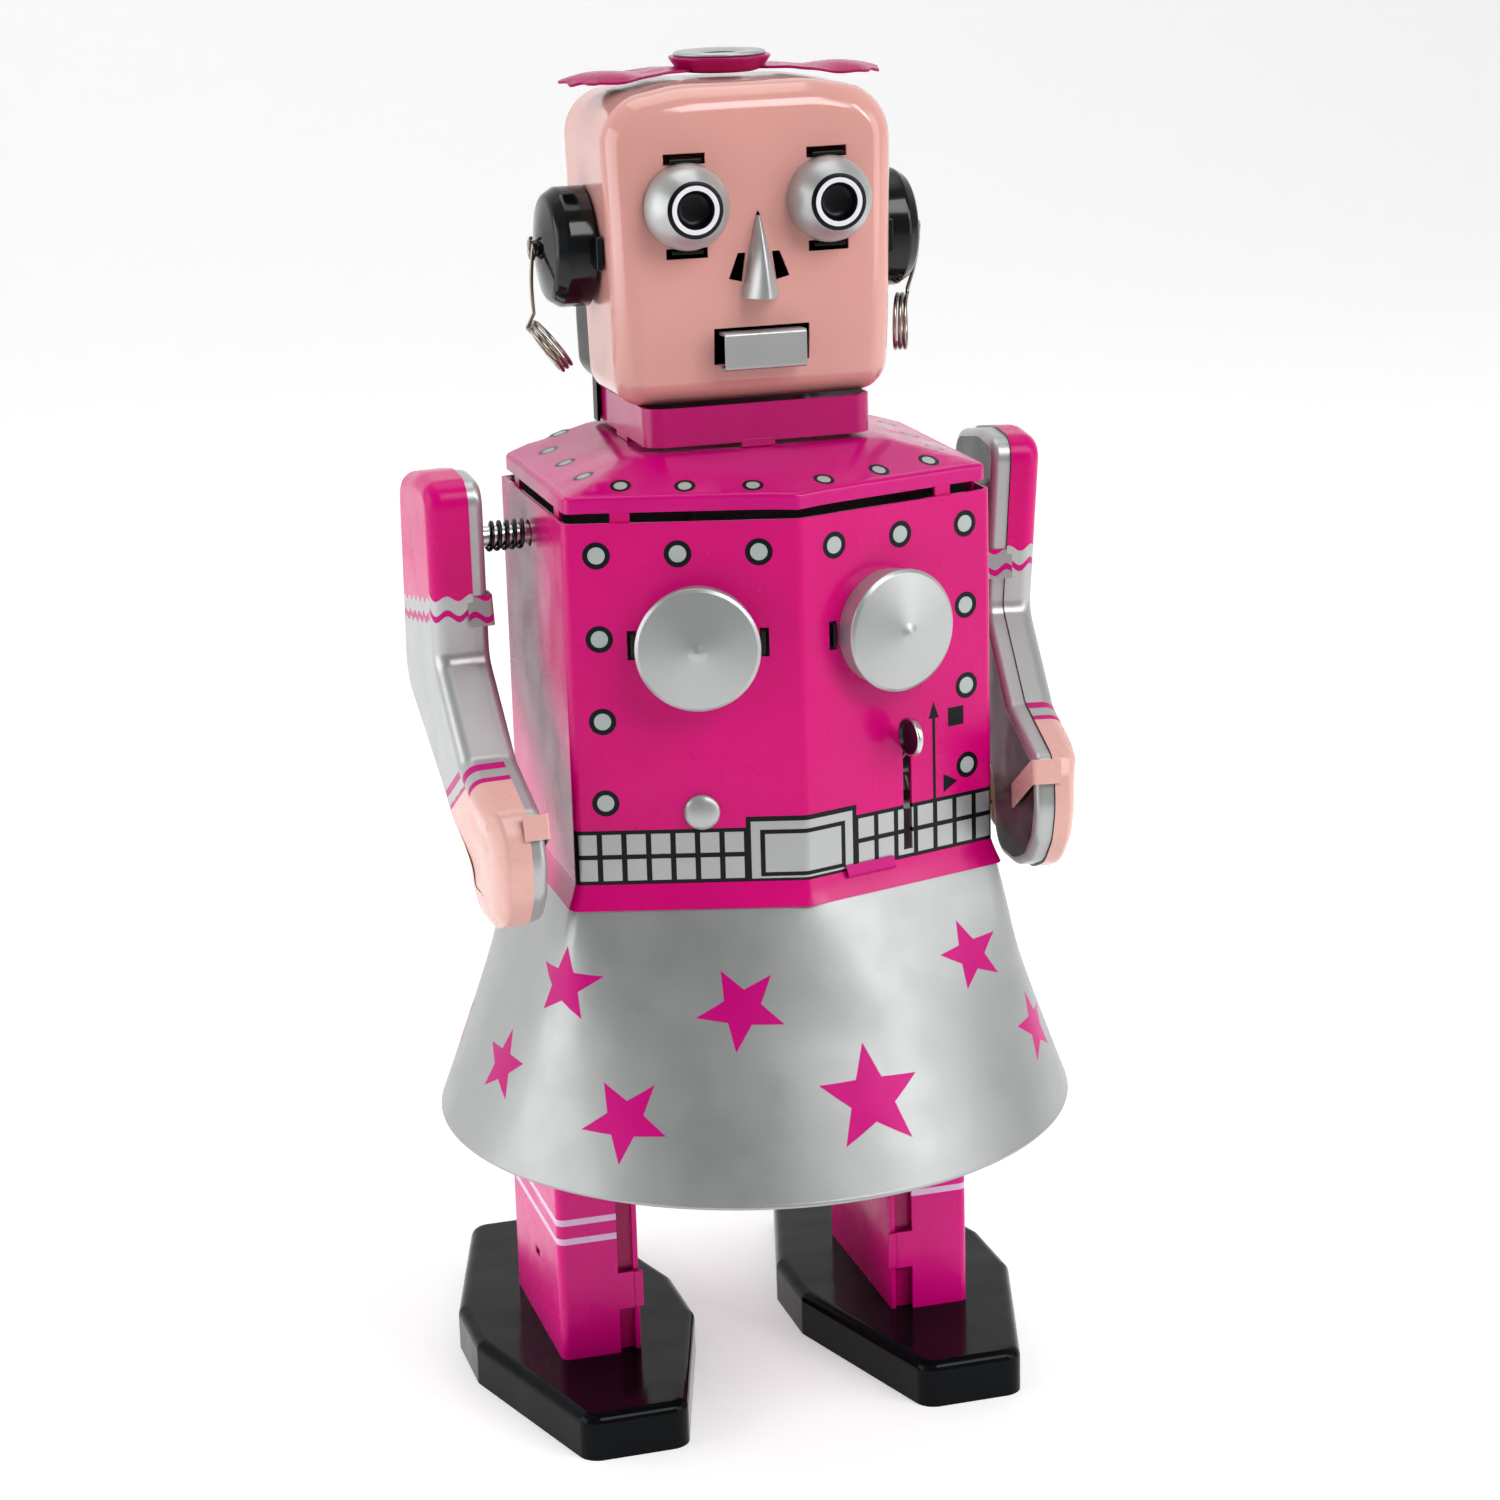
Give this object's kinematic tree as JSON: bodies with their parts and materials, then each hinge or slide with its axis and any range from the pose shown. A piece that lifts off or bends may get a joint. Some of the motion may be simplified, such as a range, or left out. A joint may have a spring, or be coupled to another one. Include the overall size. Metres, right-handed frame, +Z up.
{
  "type": "wind-up tin robot",
  "caption": "Wind-up tin toy robot girl with a printed tin body and skirt, swinging arms, a stop lever and a clockwork that slides the legs to walk.",
  "frame": {"origin": "on the floor under the middle of the bounding box", "axes": "+Z up, -Y the way the robot faces, +X towards the robot's left hand"},
  "size_m": [0.0968, 0.1014, 0.2037],
  "materials": {
    "magenta_tin": "glossy printed magenta tin",
    "torso_print": "glossy printed magenta tin with printed rivets and belt",
    "lid_print": "glossy printed magenta tin with printed rivets",
    "skirt_print": "satin silver tin with printed magenta stars",
    "skin_tin": "glossy pink printed tin",
    "black_tin": "glossy black printed tin",
    "silver_tin": "satin silver lacquered tin",
    "eye_print": "satin silver tin with printed eye rings",
    "arm_print": "glossy printed tin with sleeve, cuff and hand",
    "leg_print": "glossy printed magenta tin with light stripes",
    "bright_steel": "bright turned steel",
    "plate_steel": "plain rolled steel",
    "spring_steel": "blued spring steel",
    "gear_brass": "machined brass",
    "key_bronze": "dark bronzed brass"
  },
  "bodies": {
    "body": {"torso_front_shell": "torso_print", "torso_back_cover": "torso_print", "torso_lid": "lid_print", "waist_band": "magenta_tin", "skirt": "skirt_print", "neck_collar": "magenta_tin", "head_front_shell": "skin_tin", "head_back_shell": "skin_tin", "hair_back": "black_tin", "right_eye": "eye_print", "left_eye": "eye_print", "nose": "silver_tin", "mouth": "silver_tin", "right_ear": "black_tin", "left_ear": "black_tin", "right_earring": "spring_steel", "left_earring": "spring_steel", "hair_bow": "magenta_tin", "bow_button": "silver_tin", "right_dial": "silver_tin", "left_dial": "silver_tin", "belt_rivet": "bright_steel", "right_motor_plate": "plate_steel", "left_motor_plate": "plate_steel", "motor_bracket": "plate_steel", "motor_pillars": "bright_steel", "leg_guide_pins": "bright_steel", "lever_pin": "bright_steel", "mainspring": "spring_steel"},
    "key": {"winding_shaft": "bright_steel", "winding_key": "key_bronze"},
    "great_wheel_body": {"great_wheel": "gear_brass"},
    "crank": {"crank_shaft": "bright_steel", "crank_wheel": "gear_brass", "right_crank": "bright_steel", "left_crank": "bright_steel"},
    "governor": {"governor_shaft": "bright_steel", "governor_fly": "gear_brass"},
    "lever": {"stop_lever": "plate_steel", "lever_knob": "black_tin"},
    "right_arm": {"right_arm_outer": "arm_print", "right_arm_inner": "silver_tin", "right_shoulder_pin": "bright_steel", "right_shoulder_spring": "spring_steel"},
    "right_leg": {"right_leg_shell": "leg_print", "right_leg_hanger": "leg_print", "right_foot_shell": "black_tin", "right_sole_plate": "plate_steel"},
    "right_front_roller_body": {"right_front_roller": "bright_steel"},
    "right_rear_roller_body": {"right_rear_roller": "bright_steel"},
    "left_arm": {"left_arm_outer": "arm_print", "left_arm_inner": "silver_tin", "left_shoulder_pin": "bright_steel", "left_shoulder_spring": "spring_steel"},
    "left_leg": {"left_leg_shell": "leg_print", "left_leg_hanger": "leg_print", "left_foot_shell": "black_tin", "left_sole_plate": "plate_steel"},
    "left_front_roller_body": {"left_front_roller": "bright_steel"},
    "left_rear_roller_body": {"left_rear_roller": "bright_steel"}
  },
  "joints": [
    {"name": "key_turn", "type": "hinge", "parent": "body", "child": "key", "pos_m": [0.036, 0.002, 0.0885], "axis": [1, 0, 0], "continuous": true},
    {"name": "great_wheel_spin", "type": "hinge", "parent": "body", "child": "great_wheel_body", "pos_m": [0.005, 0.002, 0.0885], "axis": [1, 0, 0], "continuous": true},
    {"name": "crank_spin", "type": "hinge", "parent": "body", "child": "crank", "pos_m": [0, 0.002, 0.0705], "axis": [1, 0, 0], "continuous": true},
    {"name": "governor_spin", "type": "hinge", "parent": "body", "child": "governor", "pos_m": [0, -0.01153, 0.07543], "axis": [1, 0, 0], "continuous": true},
    {"name": "stop_lever_swing", "type": "hinge", "parent": "body", "child": "lever", "pos_m": [0.017, -0.014, 0.097], "axis": [1, 0, 0], "range_deg": [0, 38]},
    {"name": "right_shoulder", "type": "hinge", "parent": "body", "child": "right_arm", "pos_m": [-0.0387, -0.002, 0.1364], "axis": [1, 0, 0], "range_deg": [-150, 45]},
    {"name": "left_shoulder", "type": "hinge", "parent": "body", "child": "left_arm", "pos_m": [0.0387, -0.002, 0.1364], "axis": [1, 0, 0], "range_deg": [-140, 2]},
    {"name": "left_leg_slide", "type": "slide", "parent": "body", "child": "left_leg", "axis": [0, 1, 0], "range_m": [-0.0035, 0.0035]},
    {"name": "right_leg_slide", "type": "slide", "parent": "body", "child": "right_leg", "axis": [0, 1, 0], "range_m": [-0.0035, 0.0035]},
    {"name": "right_front_roll", "type": "hinge", "parent": "right_leg", "child": "right_front_roller_body", "pos_m": [-0.0266, -0.0141, 0.0028], "axis": [1, 0, 0], "continuous": true},
    {"name": "right_rear_roll", "type": "hinge", "parent": "right_leg", "child": "right_rear_roller_body", "pos_m": [-0.0266, 0.0379, 0.0028], "axis": [1, 0, 0], "continuous": true},
    {"name": "left_front_roll", "type": "hinge", "parent": "left_leg", "child": "left_front_roller_body", "pos_m": [0.0266, -0.0141, 0.0028], "axis": [1, 0, 0], "continuous": true},
    {"name": "left_rear_roll", "type": "hinge", "parent": "left_leg", "child": "left_rear_roller_body", "pos_m": [0.0266, 0.0379, 0.0028], "axis": [1, 0, 0], "continuous": true}
  ],
  "couplings": [
    {"joint": "crank_spin", "follows": "great_wheel_spin", "ratio": -4},
    {"joint": "governor_spin", "follows": "great_wheel_spin", "ratio": 12},
    {"joint": "right_leg_slide", "follows": "left_leg_slide", "ratio": -1}
  ]
}
